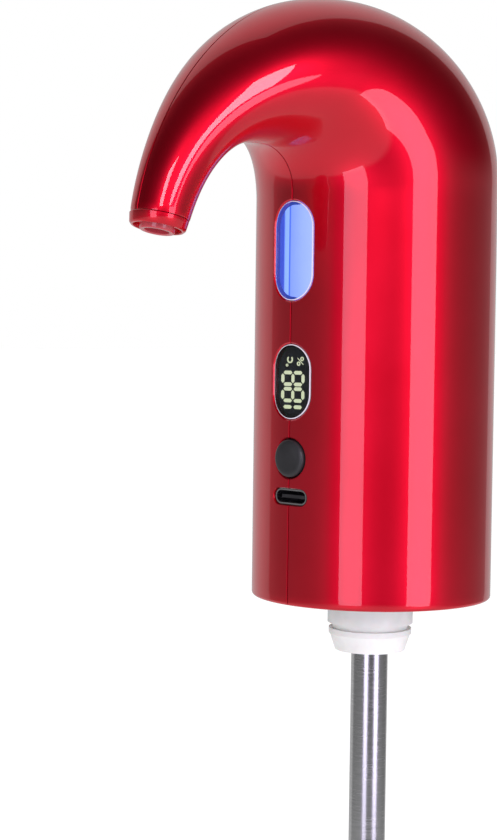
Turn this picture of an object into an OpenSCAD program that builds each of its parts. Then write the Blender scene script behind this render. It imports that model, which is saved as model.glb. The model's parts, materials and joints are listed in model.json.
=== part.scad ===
// Battery-powered wine aerator and pourer with a swan-neck spout.
// It sits on an open bottle. The stopper seals the bottle's neck, a small diaphragm pump
// raises the air pressure in the bottle, and wine climbs the telescopic tube, passes through
// the hose in the swan neck and leaves at the nozzle.
//
// Millimetres, +Z up. The origin is on the axis of the body, in the plane of the housing's
// lower edge. The spout reaches towards -Y, and the housing parts in the plane x = 0.

/* [Housing] */
// Outer diameter of the body
body_d = 52; // [51:0.5:64]
// Thickness of the body's wall
wall = 2.2; // [1.8:0.1:2.6]
// Height of the straight part of the body at its front
body_h = 86; // [84:1:110]
// Width of the parting line between the two shells
seam_gap = 0.1; // [0.05:0.05:0.3]

/* [Swan neck] */
// Height of the crown above the straight part
crown_rise = 40.35; // [36:0.5:48]
// How far the top of the crown lies in front of the body's axis
crown_forward = 14.8; // [8:0.2:20]
// How much higher the straight part is at the back
back_rise = 3.4; // [2:0.2:6]
// Height of the arch under the neck above the straight part
arch_rise = 9.1; // [7:0.5:11]
// How far the top of that arch lies in front of the body
arch_forward = 9.3; // [8:0.5:11]
// Distance from the body's front to the middle of the spout's end
neck_reach = 37; // [34:0.5:42]
// How far the spout's end lies below the top of the straight part
tip_drop = 9.45; // [6:0.5:14]
// Diameter of the spout's end
tip_d = 11.1; // [10.5:0.1:13]
// Lean of the spout's end from straight down
tip_tilt = 12.5; // [8:0.5:18]
// Wall of the neck where it leaves the body
neck_wall = 2; // [1.6:0.1:2.4]
// Wall of the neck at the spout's end
tip_wall = 1.2; // [1:0.1:1.4]
// Height of the collar at the spout's end
collar_l = 2.2; // [1.6:0.2:3]

/* [Window, display, button and socket] */
// Width of the light window
window_w = 11; // [9:0.5:12]
// Height of the light window
window_l = 20.8; // [16:0.2:22]
// Distance from the top of the window to the top of the straight part
window_drop = 1.8; // [1.4:0.1:3]
// Width of the display window
display_w = 10.6; // [9.6:0.2:12]
// Height of the display window
display_l = 15.8; // [14:0.2:16.4]
// Height of the display window's middle
display_z = 46.7; // [46:0.1:48]
// Diameter of the power button
button_d = 7.9; // [7:0.1:9]
// Height of the power button's middle
button_z = 30.75; // [30.5:0.05:32]
// How far the button stands proud of the body
button_proud = 0.6; // [0.5:0.1:1.5]
// Travel of the button
button_travel = 0.4; // [0.25:0.05:0.5]
// Height of the charging socket's middle
usb_z = 22.7; // [22.6:0.05:23.2]
// Width of the opening for the charging plug
port_w = 9.6; // [9.4:0.1:12]
// Height of the opening for the charging plug
port_h = 3.4; // [3.4:0.1:4.4]

/* [Bottle fit] */
// Diameter of the socket that goes over the bottle's mouth
socket_d = 31.5; // [26:0.25:32]
// Depth of the socket
socket_depth = 17.2; // [12:0.2:17.2]
// Diameter of the stopper's sealing land
stopper_d = 18.6; // [17.6:0.1:19.4]
// Length of the sealing land
land_l = 12; // [8:1:14]
// How far the stopper reaches below the housing
stopper_drop = 12; // [10:1:20]

/* [Suction tube] */
// Outer diameter of the upper stage
tube_d = 8; // [7.8:0.1:9]
// Wall of each stage
tube_wall = 0.4; // [0.3:0.05:0.5]
// Length of the upper stage
stage_l = 90; // [70:1:100]
// Length of each stage that shows below the one above it
stage_show = 4; // [3:0.5:8]

/* [Works] */
// Diameter of the wine hose
hose_d = 7; // [6.6:0.1:7.2]
// Bore of the wine hose
hose_bore = 5; // [4.6:0.1:5.2]
// Diameter of the air hose
air_hose_d = 3.4; // [3:0.1:3.6]
// Bore of the air hose
air_hose_bore = 2.4; // [2.2:0.1:2.6]
// Diameter of the battery cell
cell_d = 14.2; // [13:0.1:14.6]
// Length of the battery cell
cell_l = 50; // [42:1:50]
// Diameter of the motor
motor_d = 13; // [11:0.5:13]
// Length of the motor's can
motor_l = 17; // [16:0.5:17.5]
// Throw of the pump's crank pin
crank_throw = 0.6; // [0.3:0.05:0.7]
// Diameter of the pump
pump_d = 14; // [13.6:0.1:14.2]
// Thickness of the circuit boards
board_t = 1.2; // [0.8:0.1:1.6]
// Width of the circuit boards
board_w = 27.6; // [26:0.2:27.8]

/* [Fits] */
// Gap between fixed pieces that slot together
fit = 0.1; // [0.05:0.01:0.15]
// Gap around a piece that slides
slide_gap = 0.2; // [0.15:0.05:0.3]
// Radial gap of a shaft in its bush
run_gap = 0.05; // [0.02:0.01:0.08]

/* [Hidden] */
$fn = 96;

// Housing
body_r = body_d / 2;
inner_r = body_r - wall;
tip_r = tip_d / 2;
tip = [body_r + neck_reach, body_h - tip_drop];
across_tip = [cos(tip_tilt), sin(tip_tilt)];
along_tip = [sin(tip_tilt), -cos(tip_tilt)];
outer_lean = 7.1;
inner_lean = 24.1;
tip_taper = (inner_lean - outer_lean) / 2;
outer_apex = [crown_forward, body_h + crown_rise];
inner_apex = [body_r + arch_forward, body_h + arch_rise];
front_rise = 0.2;
root_depth = 1;
neck_rings = 30;
half_sides = 24;
lug = [4, 5, 5];
lug_z = [30, 75];
lug_pin_r = 1;

// Front features
window_z = body_h - window_drop - window_l / 2;
flange_w = 2;
flange_r = inner_r - fit;
flange_t = 1.35;
lens_sink = 0.15;
lens_rim = 0.7;
lens_t = 1;
pocket_r = body_r - lens_sink - lens_t;
pocket_gap = 2 * (lens_rim + slide_gap);
board_y = -(inner_r - 7.2);
board_back = board_y + board_t;
board_z = 20.6;
board_top = 60;
led_board_z = [window_z - window_l / 2 - 0.9, body_h - 1];
led_t = 0.8;
module_t = 4.8;
digit_t = 0.2;
button_r = button_d / 2;
button_flange = [button_r + 1.05, 0.8];
plunger_r = 1.75;
switch_size = 6;
switch_t = 3.1;
plunger_out = 1.2;
port_shell = [8.94, 3.16];
port_shell_t = 0.3;
port_sink = 0.75;

// Base and stopper
socket_r = socket_d / 2;
socket_wall = 1.6;
socket_or = socket_r + socket_wall;
base_z = 0.8;
base_t = 2.2;
gasket_t = 1.8;
deck_z = base_z + socket_depth;
deck_t = 2;
deck_top = deck_z + deck_t;
seat_z = deck_z - gasket_t;
base_screw_r = inner_r - 2.6;
boss_r = 2.8;
boss_top = 14;
screw_r = 1;
screw_head_r = 1.9;
screw_head_t = 1;
column_r = 2.1;
chassis_screw_r = inner_r - 4.15;
chassis_screw_angles = [90, 210, 330];
riser_r = 3.5;
riser_bore = 2.75;
riser_low = stopper_drop + 10;
riser_flange = [4.2, 1.2];
barb_l = 6.8;
barb_bore = 1.7;
air_port = [0, 6.2];
air_port_r = 1;
air_barb_l = 3;

// Suction tube
stage_gap = 0.3;
upper_r = tube_d / 2;
middle_r = upper_r - tube_wall - stage_gap;
lower_r = middle_r - tube_wall - stage_gap;
upper_top = -stopper_drop - 0.5;
upper_end = upper_top - stage_l;
middle_top = -riser_low - 1.5;
middle_end = upper_end - stage_show;
lower_top = middle_top - 1;
lower_end = middle_end - stage_show;
collar_grip = 6;
stop_t = 1.5;

// Works
chassis_t = 2;
chassis_top = deck_top + chassis_t;
chassis_r = chassis_screw_r + column_r;
rail_x = [board_w / 2 - 0.8, board_w / 2 + 1.6];
rail_y = 1.1;
cell = [10.5, 8];
cell_z = chassis_top + 2.6;
cradle_wall = 1.15;
cradle_r = cell_d / 2 + 0.15;
end_wall = 1.4;
hose_r = hose_d / 2;
hose_ri = hose_bore / 2;
hose_sides = 16;
hose_z = deck_top + riser_flange[1] + 0.2;
barb_r = hose_ri - fit;
air_r = air_hose_d / 2;
air_ri = air_hose_bore / 2;
air_sides = 10;
air_barb_r = air_ri - fit;
motor = [-12, -11.5, 34];
motor_r = motor_d / 2;
can_t = 0.7;
shaft_r = 0.75;
bush_r = 2;
front_boss = [2.6, 1.2];
hub_y = 18.8;
hub_t = 2;
hub_r = 3.2;
crank_r = 1.5;
crank_l = 3.1;
rod_y = 21.1;
rod_t = 2.4;
rod_bush_r = 2.3;
rod_end_r = 3.4;
rod_rise = 10;
pump = [motor[0], motor[1] + rod_y + rod_t / 2, 41.6];
pump_r = pump_d / 2;
pump_ri = 4.8;
skirt_t = 4.8;
diaphragm_z = pump[2] + skirt_t;
diaphragm_t = 0.8;
valve_z = diaphragm_z + diaphragm_t;
valve_t = 3;
head_z = valve_z + valve_t;
head_t = 4;
pump_barb_l = 4;
pump_screw = [0.6, 5.9];
pump_screw_angles = [90, 210, 330];
flap_x = 2.2;
sensor_z = 48;
sensor_l = 6;

// Route of the air hose, from the pump's outlet to the air port in the deck
air_route = [
    [pump[0], pump[1], head_z + head_t + 0.6],
    [pump[0], pump[1], 58.5],
    [pump[0], pump[1], 62],
    [-10.5, 11.8, 66.5],
    [-6, 13.5, 69],
    [-2, 15, 67],
    [0, 15.8, 62],
    [0, 16, 52],
    [0, 16, 41],
    [0, 14.5, 34],
    [0, 11, 29.5],
    [0, 7.6, 27.5],
    [air_port[0], air_port[1], 25.2],
    [air_port[0], air_port[1], 23.2],
    [air_port[0], air_port[1], deck_top + 0.2]
];
// Routes of the wires, each from a terminal to the back of a circuit board
wire_r = 0.5;

function to_board(x, z) = [[x, board_back + 1.1, z], [x, board_back + 0.1, z]];

function from_board(x, z) = [[x, board_back + 0.1, z], [x, board_back + 1.1, z]];

terminal_x = 2.9;
terminal_out = 1.8;
wire_routes = [
    concat([[14.1, 3.6, cell_z + cell_l + 1.3], [14.8, -0.5, 75.8], [13.5, -6, 75],
            [11, -11, 69], [8.8, -13.6, 61]], to_board(8, 57.5)),
    concat([[14.5, -1.5, chassis_top + 1.2], [14, -5, 24], [13, -9.5, 26], [12, -12.5, 28.5]],
           to_board(11, 31)),
    concat([[motor[0] + terminal_x, motor[1] - terminal_out, motor[2]], [-8.4, -13.7, 36]],
           to_board(-7, 40)),
    concat([[motor[0] - terminal_x, motor[1] - terminal_out, motor[2]], [-13.2, -13.7, 31.5]],
           to_board(-11, 28)),
    for (x = [-3, 3])
        concat(from_board(x, led_board_z[0] + 3), [[x, -13.2, 60.5]], to_board(x, 55.5))
];

// Curves of the swan neck, as [forward, up] in the plane of symmetry

// Handle length that makes a cubic follow a quarter of an ellipse
quarter = 0.5523;

function cubic(p, t) =
    pow(1 - t, 3) * p[0] + 3 * t * pow(1 - t, 2) * p[1]
    + 3 * t * t * (1 - t) * p[2] + pow(t, 3) * p[3];

// A contour rises as a quarter ellipse from start to apex, then falls to end
function contour(start, apex, end, over, drop, lean) = [
    [start, [start[0], start[1] + quarter * (apex[1] - start[1])],
     [apex[0] - quarter * (apex[0] - start[0]), apex[1]], apex],
    [apex, [apex[0] + over, apex[1]], end + drop * [-sin(lean), cos(lean)], end]
];

function on_contour(c, t) = t < 1 ? cubic(c[0], t) : cubic(c[1], t - 1);

// Table of [length, parameter] along a contour
function lengths(c, n = 160) =
    let (p = [for (i = [0:n]) on_contour(c, 2 * i / n)])
    [for (i = 0, s = 0; i <= n; i = i + 1, s = s + (i <= n ? norm(p[i] - p[i - 1]) : 0))
        [s, 2 * i / n]];

function at_share(c, table, share) =
    on_contour(c, lookup(share * table[len(table) - 1][0], table));

outer_curve = contour([-body_r, body_h + back_rise], outer_apex,
    tip + tip_r * across_tip, 32.8, 19.6, outer_lean);
inner_curve = contour([body_r, body_h + front_rise], inner_apex,
    tip - tip_r * across_tip, 17.2, 8.3, inner_lean);
outer_table = lengths(outer_curve);
inner_table = lengths(inner_curve);

// The inner contour is walked a little late, so that the sections stay square to the neck
inner_pace = 1.315;
low_bulge = 0.011;
high_bulge = 0.035;
bulge_span = 0.65;

function swell(q) = q > 0 && q < 1 ? pow(sin(180 * q), 2) : 0;

// Section q of the neck: [middle, half-height vector, half-width]
function neck_section(q) =
    let (
        o = at_share(outer_curve, outer_table, q),
        i = at_share(inner_curve, inner_table, pow(q, inner_pace)),
        across = (o - i) / 2,
        fuller = 1 + low_bulge * swell(q / bulge_span)
            + high_bulge * swell((q - 1 + bulge_span) / bulge_span)
    )
    [(o + i) / 2, across, norm(across) * fuller];

function upright_section(r, z) = [[0, z], [-r, 0], r];

// Half of a section's outline, drawn in by a wall t
function half_outline(s, t, side) =
    let (shrink = (norm(s[1]) - t) / norm(s[1]))
    [for (i = [0:half_sides])
        let (a = 180 * i / half_sides, p = s[0] - shrink * cos(a) * s[1])
        [side * max((s[2] - t) * sin(a), seam_gap / 2), -p[0], p[1]]];

// Swept solids

function triangles(quads, flip) = [
    for (q = quads)
        for (t = [[q[0], q[1], q[2]], [q[0], q[2], q[3]]])
            flip ? [t[2], t[1], t[0]] : t
];

// A wall between two rows of rings. Each ring is a closed loop, or a strip if open is true.
module swept_wall(outer, inner, open = false, flip = false) {
    rings = len(outer);
    size = len(outer[0]);
    last = open ? size - 2 : size - 1;
    base = rings * size;
    skin = [for (j = [0:rings - 2], i = [0:last])
        let (a = j * size + i, b = j * size + (i + 1) % size)
        [a, a + size, b + size, b]];
    lining = [for (q = skin) [q[3] + base, q[2] + base, q[1] + base, q[0] + base]];
    ends = [for (j = [0, rings - 1], i = [0:last])
        let (a = j * size + i, b = j * size + (i + 1) % size)
        j == 0 ? [a, b, b + base, a + base] : [a, a + base, b + base, b]];
    rims = open ? [for (j = [0:rings - 2], i = [0, size - 1])
        let (a = j * size + i, b = a + size)
        i == 0 ? [a, a + base, b + base, b] : [a, b, b + base, a + base]] : [];
    polyhedron(
        points = [for (r = [outer, inner], ring = r) each ring],
        faces = triangles(concat(skin, lining, ends, rims), flip)
    );
}

// A solid rod through a row of closed rings
module swept_rod(rings) {
    size = len(rings[0]);
    last = (len(rings) - 1) * size;
    skin = [for (j = [0:len(rings) - 2], i = [0:size - 1])
        let (a = j * size + i, b = j * size + (i + 1) % size)
        [a, a + size, b + size, b]];
    caps = [for (i = [1:size - 2])
        each [[0, i, i + 1], [last, last + i + 1, last + i]]];
    polyhedron(
        points = [for (ring = rings) each ring],
        faces = concat(triangles(skin, false), caps)
    );
}

function unit(v) = v / norm(v);

function tangents(p) = [for (i = [0:len(p) - 1])
    unit(p[min(i + 1, len(p) - 1)] - p[max(i - 1, 0)])];

// Sideways directions that turn as little as they can along the route
function sideways(t, first) =
    [for (i = 0, n = unit(cross(t[0], first)); i < len(t);
          i = i + 1, n = i < len(t) ? unit(n - (n * t[i]) * t[i]) : n) n];

// Rings of radius r round a route, with the given number of sides
function rings_along(p, r, sides, first = [1, 0, 0]) =
    let (t = tangents(p), n = sideways(t, first))
    [for (i = [0:len(p) - 1])
        let (b = cross(t[i], n[i]))
        [for (k = [0:sides - 1])
            let (a = 360 * k / sides)
            p[i] + r * (cos(a) * n[i] + sin(a) * b)]];

// A smooth line through hand-set points, with n steps between neighbours
function through(p, n) = [
    for (i = [0:len(p) - 2], s = [0:n - 1])
        let (
            t = s / n,
            a = p[max(i - 1, 0)],
            b = p[i],
            c = p[i + 1],
            d = p[min(i + 2, len(p) - 1)]
        )
        (2 * b + (c - a) * t + (2 * a - 5 * b + 4 * c - d) * t * t
            + (3 * b - 3 * c + d - a) * pow(t, 3)) / 2,
    p[len(p) - 1]
];

// Helpers

// Moves to the middle of the spout's end, with +Z along the flow of wine
module at_tip(along = 0) {
    translate([0, -tip[0], tip[1]])
        rotate([180 - tip_tilt, 0, 0])
            translate([0, 0, along])
                children();
}

// Moves to the motor's rear end, with +Z along its shaft towards the back of the body
module at_motor(along = 0) {
    translate(motor)
        rotate([-90, 0, 0])
            translate([0, 0, along])
                children();
}

module tube(r, bore, z0, z1) {
    translate([0, 0, z0])
        difference() {
            cylinder(r = r, h = z1 - z0);
            translate([0, 0, -1])
                cylinder(r = bore, h = z1 - z0 + 2);
        }
}

module rod(r, z0, z1) {
    translate([0, 0, z0])
        cylinder(r = r, h = z1 - z0);
}

// Extrudes a shape drawn on the front, from y towards the front by t
module from_front(y, z, t) {
    translate([0, y, z])
        rotate([90, 0, 0])
            linear_extrude(t)
                children();
}

module stadium(w, l) {
    square([w, l - w], center = true);
    for (s = [-1, 1])
        translate([0, s * (l - w) / 2])
            circle(d = w);
}

module lying_stadium(w, h) {
    rotate(90)
        stadium(h, w);
}

// The part of a round wall from radius r0 to r1 behind a stadium on the front
module front_wall(w, l, z, r0, r1) {
    intersection() {
        from_front(-body_r / 2, z, body_r)
            stadium(w, l);
        tube(r1, r0, z - l, z + l);
    }
}

// A lens that fills a stadium opening, with a flange behind the wall and a pocket in its back
module front_lens(w, l, z) {
    difference() {
        union() {
            front_wall(w - 2 * fit, l - 2 * fit, z, flange_r - flange_t / 2, body_r - lens_sink);
            front_wall(w + flange_w, l + flange_w, z, flange_r - flange_t, flange_r);
        }
        front_wall(w - 2 * lens_rim, l - 2 * lens_rim, z, body_r / 2, pocket_r);
    }
}

module around(r, angles) {
    for (a = angles)
        rotate(a)
            translate([r, 0, 0])
                children();
}

// Housing

module front_openings() {
    from_front(-body_r / 2, window_z, body_r)
        stadium(window_w, window_l);
    from_front(-body_r / 2, display_z, body_r)
        stadium(display_w, display_l);
    from_front(-body_r / 2, button_z, body_r)
        circle(r = button_r + slide_gap);
    from_front(-body_r / 2, usb_z, body_r)
        lying_stadium(port_w, port_h);
}

module half_neck(side) {
    roots = [
        [upright_section(body_r - 3 * fit, body_h - root_depth), wall - 6 * fit],
        [upright_section(body_r - fit, body_h + 0.05), neck_wall]
    ];
    sections = [for (i = [0:neck_rings])
        let (q = i / neck_rings)
        [neck_section(q), neck_wall + (tip_wall - neck_wall) * q]];
    walls = concat(roots, sections);
    difference() {
        swept_wall(
            [for (s = walls) half_outline(s[0], 0, side)],
            [for (s = walls) half_outline(s[0], s[1], side)],
            open = true, flip = side < 0
        );
        at_tip(-collar_l - fit)
            translate([-tip_d, -tip_d, 0])
                cube([2 * tip_d, 2 * tip_d, 2 * tip_d]);
    }
}

module half_body(side) {
    side_angles = side > 0 ? [-45, 45] : [135, 225];
    difference() {
        union() {
            intersection() {
                tube(body_r, inner_r, 0, body_h);
                translate([side > 0 ? seam_gap / 2 : -body_r - seam_gap / 2, -body_r, 0])
                    cube([body_r, body_d, body_h]);
            }
            difference() {
                around(base_screw_r, side_angles)
                    rod(boss_r, base_z + base_t, boss_top);
                tube(body_d, inner_r + wall / 2, 0, body_h);
            }
            for (z = lug_z)
                translate([side > 0 ? seam_gap / 2 : -lug[0], inner_r - lug[1] + 0.6, z])
                    cube([lug[0] - seam_gap / 2, lug[1], lug[2]]);
        }
        front_openings();
        around(base_screw_r, side_angles)
            rod(screw_r + fit / 2, 0, boss_top - 2);
        if (side > 0)
            lug_pins(lug_pin_r + fit / 2, -1, 3);
    }
}

module lug_pins(r, x0, x1) {
    for (z = lug_z)
        translate([0, inner_r - lug[1] / 2, z + lug[2] / 2])
            rotate([0, 90, 0])
                rod(r, x0, x1);
}

module left_shell() {
    color("crimson") {
        half_body(-1);
        half_neck(-1);
        lug_pins(lug_pin_r, -2, 2.5);
    }
}

module right_shell() {
    color("crimson") {
        half_body(1);
        half_neck(1);
    }
}

// Spout

spigot_l = 3;
spigot_r = tip_r - tip_wall - fit;
collar_recess = 1.2;
collar_rim = 0.7;
collar_chamfer = 0.35;
nozzle_r = 3.5;
nozzle_flange = [4.3, 0.95];
nozzle_proud = 0.7;
nozzle_bore = 2.4;
nozzle_barb_l = 4.8;

module spout_ring() {
    top_r = tip_r + collar_l * tan(tip_taper);
    color("firebrick")
        at_tip()
            rotate_extrude()
                polygon([
                    [nozzle_r + fit, -collar_l - spigot_l],
                    [spigot_r, -collar_l - spigot_l],
                    [spigot_r, -collar_l],
                    [top_r, -collar_l],
                    [tip_r, -collar_chamfer],
                    [tip_r - collar_chamfer, 0],
                    [tip_r - collar_rim, 0],
                    [tip_r - collar_rim, -collar_recess],
                    [nozzle_r + fit, -collar_recess]
                ]);
}

module outlet_nozzle() {
    flange_end = -collar_l - spigot_l - fit / 2;
    flange_start = flange_end - nozzle_flange[1];
    color("gray")
        at_tip()
            difference() {
                union() {
                    rod(nozzle_r, flange_end, nozzle_proud);
                    rod(nozzle_flange[0], flange_start, flange_end);
                    rod(barb_r, flange_start - nozzle_barb_l, flange_start);
                }
                rod(nozzle_bore, -collar_l, nozzle_proud + 1);
                rod(barb_bore, flange_start - nozzle_barb_l - 1, 0);
            }
}

module wine_hose() {
    hose_end = -collar_l - spigot_l - nozzle_flange[1] - fit;
    on_tip = [for (t = [-8, -5.4, -2.7, 0]) tip + (hose_end + t) * along_tip];
    neck_part = [for (q = [0.04:0.04:0.76]) neck_section(q)[0]];
    straight = [[0, hose_z], [0, body_h / 2], [0, body_h - 2]];
    route = [for (p = concat(straight, neck_part, on_tip)) [0, -p[0], p[1]]];
    color("ivory")
        swept_wall(
            rings_along(route, hose_r, hose_sides),
            rings_along(route, hose_ri, hose_sides)
        );
}

// Window

module window_lens() {
    color("lightsteelblue")
        front_lens(window_w, window_l, window_z);
}

module light_guide() {
    color("aliceblue")
        intersection() {
            from_front(board_y - led_t - slide_gap, window_z, body_r)
                stadium(window_w - pocket_gap, window_l - pocket_gap);
            rod(pocket_r - slide_gap, 0, body_h);
        }
}

module led_board() {
    color("darkgreen")
        translate([-board_w / 2, board_y, led_board_z[0]])
            cube([board_w, board_t, led_board_z[1] - led_board_z[0]]);
}

module window_leds() {
    color("lightyellow")
        for (s = [-1, 0, 1])
            translate([0, 0, window_z + 6 * s])
                from_front(board_y, 0, led_t)
                    square([3.5, 2.8], center = true);
}

// Display

module display_lens() {
    color("dimgray")
        front_lens(display_w, display_l, display_z);
}

display_face = sqrt(pow(pocket_r, 2) - pow((display_w - pocket_gap) / 2, 2)) - slide_gap;

module display_module() {
    color("black") {
        from_front(board_y, display_z, module_t)
            square([display_w - 0.8, display_l - 0.8], center = true);
        from_front(board_y, display_z, display_face + board_y)
            stadium(display_w - pocket_gap, display_l - pocket_gap);
    }
}

// Bars of a seven-segment digit: [across, along, is it an upright bar]
bars = [
    [0, 1, false], [0.5, 0.5, true], [0.5, -0.5, true], [0, -1, false],
    [-0.5, -0.5, true], [-0.5, 0.5, true], [0, 0, false]
];
digit = [3.2, 5.8];
digit_pitch = 3.4;
bar_w = 0.7;

// The lit bars of each digit, read from the bottom of the display to its top
lit_bars = [[1, 2], [0, 1, 2, 3, 4, 5, 6], [0, 1, 2, 3, 4, 5, 6]];

module display_segments() {
    color("palegoldenrod")
        from_front(-display_face, display_z - 2.75, digit_t) {
            for (n = [0:2], k = lit_bars[n])
                translate([0, (n - 1) * digit_pitch])
                    rotate(90)
                        translate([bars[k][0] * digit[0] * 0.8, bars[k][1] * digit[1] / 2])
                            square(bars[k][2] ? [bar_w, digit[1] / 2 - bar_w - 0.1]
                                              : [digit[0] * 0.8 - bar_w - 0.1, bar_w],
                                   center = true);
            for (x = [-1.8, 1.8])
                translate([x, 7.2])
                    difference() {
                        circle(r = 0.7);
                        circle(r = 0.4);
                    }
        }
}

// Button

module power_button() {
    front = body_r + button_proud;
    flange_y = inner_r - 0.9;
    stem_end = -board_y + switch_t + plunger_out;
    color("black")
        rotate([90, 0, 0])
            translate([0, button_z, 0])
                rotate_extrude()
                    polygon([
                        [0, stem_end], [1.6, stem_end], [1.6, flange_y - button_flange[1]],
                        [button_flange[0], flange_y - button_flange[1]],
                        [button_flange[0], flange_y], [button_r, flange_y],
                        [button_r, front - 0.5], [button_r - 0.5, front], [0, front]
                    ]);
}

module tact_switch() {
    color("silver")
        difference() {
            from_front(board_y, button_z, switch_t)
                square(switch_size, center = true);
            from_front(board_y - 1.7, button_z, switch_t)
                circle(r = plunger_r + fit);
        }
}

module switch_plunger() {
    color("darkslategray")
        from_front(board_y - 1.7 - button_travel - 0.2, button_z,
                   switch_t + plunger_out - 1.9 - button_travel)
            circle(r = plunger_r);
}

// Charging socket

port_front = body_r - port_sink;
port_l = port_front + board_y;

module usb_shell() {
    color("silver")
        difference() {
            from_front(board_y, usb_z, port_l)
                lying_stadium(port_shell[0], port_shell[1]);
            from_front(board_y - 0.6, usb_z, port_l)
                lying_stadium(port_shell[0] - 2 * port_shell_t, port_shell[1] - 2 * port_shell_t);
        }
}

module usb_tongue() {
    color("black") {
        from_front(board_y - 0.65, usb_z, 2)
            lying_stadium(port_shell[0] - 0.7, port_shell[1] - 0.7);
        from_front(board_y - 2.6, usb_z, port_l - 3.4)
            square([6.7, 0.7], center = true);
    }
}

// Circuit board

module main_pcb() {
    color("darkgreen")
        translate([-board_w / 2, board_y, board_z])
            cube([board_w, board_t, board_top - board_z]);
}

// Components on the back of the board: [x, z, width, height, thickness]
parts_on_board = [
    [-1, 47, 7, 7, 0.9], [7, 47, 4, 4, 0.8], [-3, 36, 5, 5, 1.6], [5, 38, 3, 3, 0.8],
    [10.5, 40, 2, 3.2, 1.2], [0, 29, 6, 2.2, 1.2], [-10, 50, 2, 1.2, 0.6],
    [-10, 53, 2, 1.2, 0.6], [-7.4, 44, 1.2, 2, 0.6], [7.5, 53, 1.6, 0.8, 0.5],
    [4, 51.5, 1.6, 0.8, 0.5], [6, 24, 3, 4, 1]
];

module pcb_components() {
    color("black")
        for (c = parts_on_board)
            translate([c[0] - c[2] / 2, board_back, c[1] - c[3] / 2])
                cube([c[2], c[4], c[3]]);
}

// Base

module socket_base() {
    color("#202022")
        difference() {
            union() {
                rod(inner_r - fit, base_z, base_z + base_t);
                rod(socket_or, base_z, deck_top);
                rod(chassis_r, deck_z, deck_top);
                around(chassis_screw_r, chassis_screw_angles)
                    rod(column_r - fit, deck_z - 5, deck_top);
                translate([air_port[0], air_port[1], 0])
                    rod(air_barb_r, deck_z, deck_top + air_barb_l);
            }
            rod(socket_r, base_z - 1, deck_z);
            rod(riser_r + fit, deck_z - 1, deck_top + 1);
            translate([air_port[0], air_port[1], 0])
                rod(0.6, deck_z - 1, deck_top + air_barb_l + 1);
            around(base_screw_r, [45, 135, 225, 315]) {
                rod(screw_r + fit, base_z - 1, base_z + base_t + 1);
                rod(screw_head_r + fit, base_z - 1, base_z + screw_head_t);
            }
            around(chassis_screw_r, chassis_screw_angles)
                rod(screw_r + fit / 2, deck_z - 4, deck_top + 1);
        }
}

module screw(length) {
    rod(screw_r, -length, 0);
    difference() {
        rod(screw_head_r, 0, screw_head_t);
        for (a = [0, 90])
            rotate(a)
                translate([-1.1, -0.2, screw_head_t - 0.5])
                    cube([2.2, 0.4, 1]);
    }
}

module base_screws() {
    color("silver")
        around(base_screw_r, [45, 135, 225, 315])
            translate([0, 0, base_z + screw_head_t])
                rotate([180, 0, 0])
                    screw(8);
}

module chassis_screws() {
    color("silver")
        around(chassis_screw_r, chassis_screw_angles)
            translate([0, 0, chassis_top])
                screw(6);
}

module socket_gasket() {
    color("whitesmoke")
        tube(socket_r - 2 * fit, stopper_d / 2 + 0.3, seat_z, deck_z);
}

stopper_neck_r = stopper_d / 2 - 0.5;
rib_h = 1.2;

module stopper() {
    land_top = land_l / 2;
    rib_r = stopper_d / 2 - 0.3;
    color("whitesmoke")
        difference() {
            union() {
                rod(stopper_neck_r, land_top, deck_z);
                rod(stopper_d / 2, -land_top, land_top);
                rod(stopper_neck_r - 0.6, -land_top - 2 * rib_h, -land_top);
                rod(rib_r, -land_top - 2 * rib_h, -land_top - rib_h);
                translate([0, 0, -stopper_drop])
                    cylinder(r1 = rib_r - 1.4, r2 = rib_r - 0.2,
                             h = stopper_drop - land_top - 2 * rib_h);
            }
            rod(riser_r + fit / 2, -stopper_drop - 1, deck_z + 1);
            translate([air_port[0], air_port[1], 0])
                rod(air_port_r, -stopper_drop - 1, deck_z + 1);
        }
}

module riser_pipe() {
    flange_top = deck_top + riser_flange[1];
    color("silver")
        difference() {
            union() {
                rod(riser_r, -riser_low, deck_top);
                rod(riser_flange[0], deck_top, flange_top);
                rod(barb_r, flange_top, flange_top + barb_l);
            }
            rod(riser_bore, -riser_low - 1, deck_top);
            rod(barb_bore, deck_top - 1, flange_top + barb_l + 1);
        }
}

// Suction tube

module tube_outer() {
    color("silver")
        tube(upper_r, upper_r - tube_wall, upper_end, upper_top);
}

// A collar on the end of a stage of radius r, which guides the stage inside it
module guide_collar(r, end) {
    color("dimgray")
        difference() {
            rod(r + 0.9, end - 0.8, end + collar_grip);
            rod(r, end, end + collar_grip + 1);
            rod(r - tube_wall - stage_gap + run_gap, end - 2, end + 1);
        }
}

module tube_collar_upper() {
    guide_collar(upper_r, upper_end);
}

// A lower stage, with a stop ring at its top that the collar above catches
module lower_stage(r, top, end) {
    color("silver")
        difference() {
            union() {
                rod(r, end, top);
                rod(r + stage_gap - run_gap, top - stop_t, top);
            }
            rod(r - tube_wall, end - 1, top + 1);
        }
}

module tube_middle() {
    lower_stage(middle_r, middle_top, middle_end);
}

module tube_collar_lower() {
    color("dimgray")
        difference() {
            rod(middle_r + 0.5, middle_end - 0.8, middle_end + 2.4);
            rod(middle_r, middle_end, middle_end + 3);
            rod(lower_r + run_gap, middle_end - 2, middle_end + 1);
        }
}

module tube_inner() {
    lower_stage(lower_r, lower_top, lower_end);
}

foot_l = 5;

module tube_foot() {
    color("dimgray")
        difference() {
            rod(lower_r + 0.6, lower_end - foot_l + 2, lower_end + 1.6);
            rod(lower_r, lower_end, lower_end + 3);
            rod(lower_r - tube_wall, lower_end - 1, lower_end + 1);
            rod(lower_r - 0.8, lower_end - foot_l, lower_end + 1);
            for (a = [0, 90])
                rotate(a)
                    translate([-lower_r - 1, -0.6, lower_end - foot_l])
                        cube([2 * lower_r + 2, 1.2, foot_l - 1]);
        }
}

// Chassis

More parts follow.
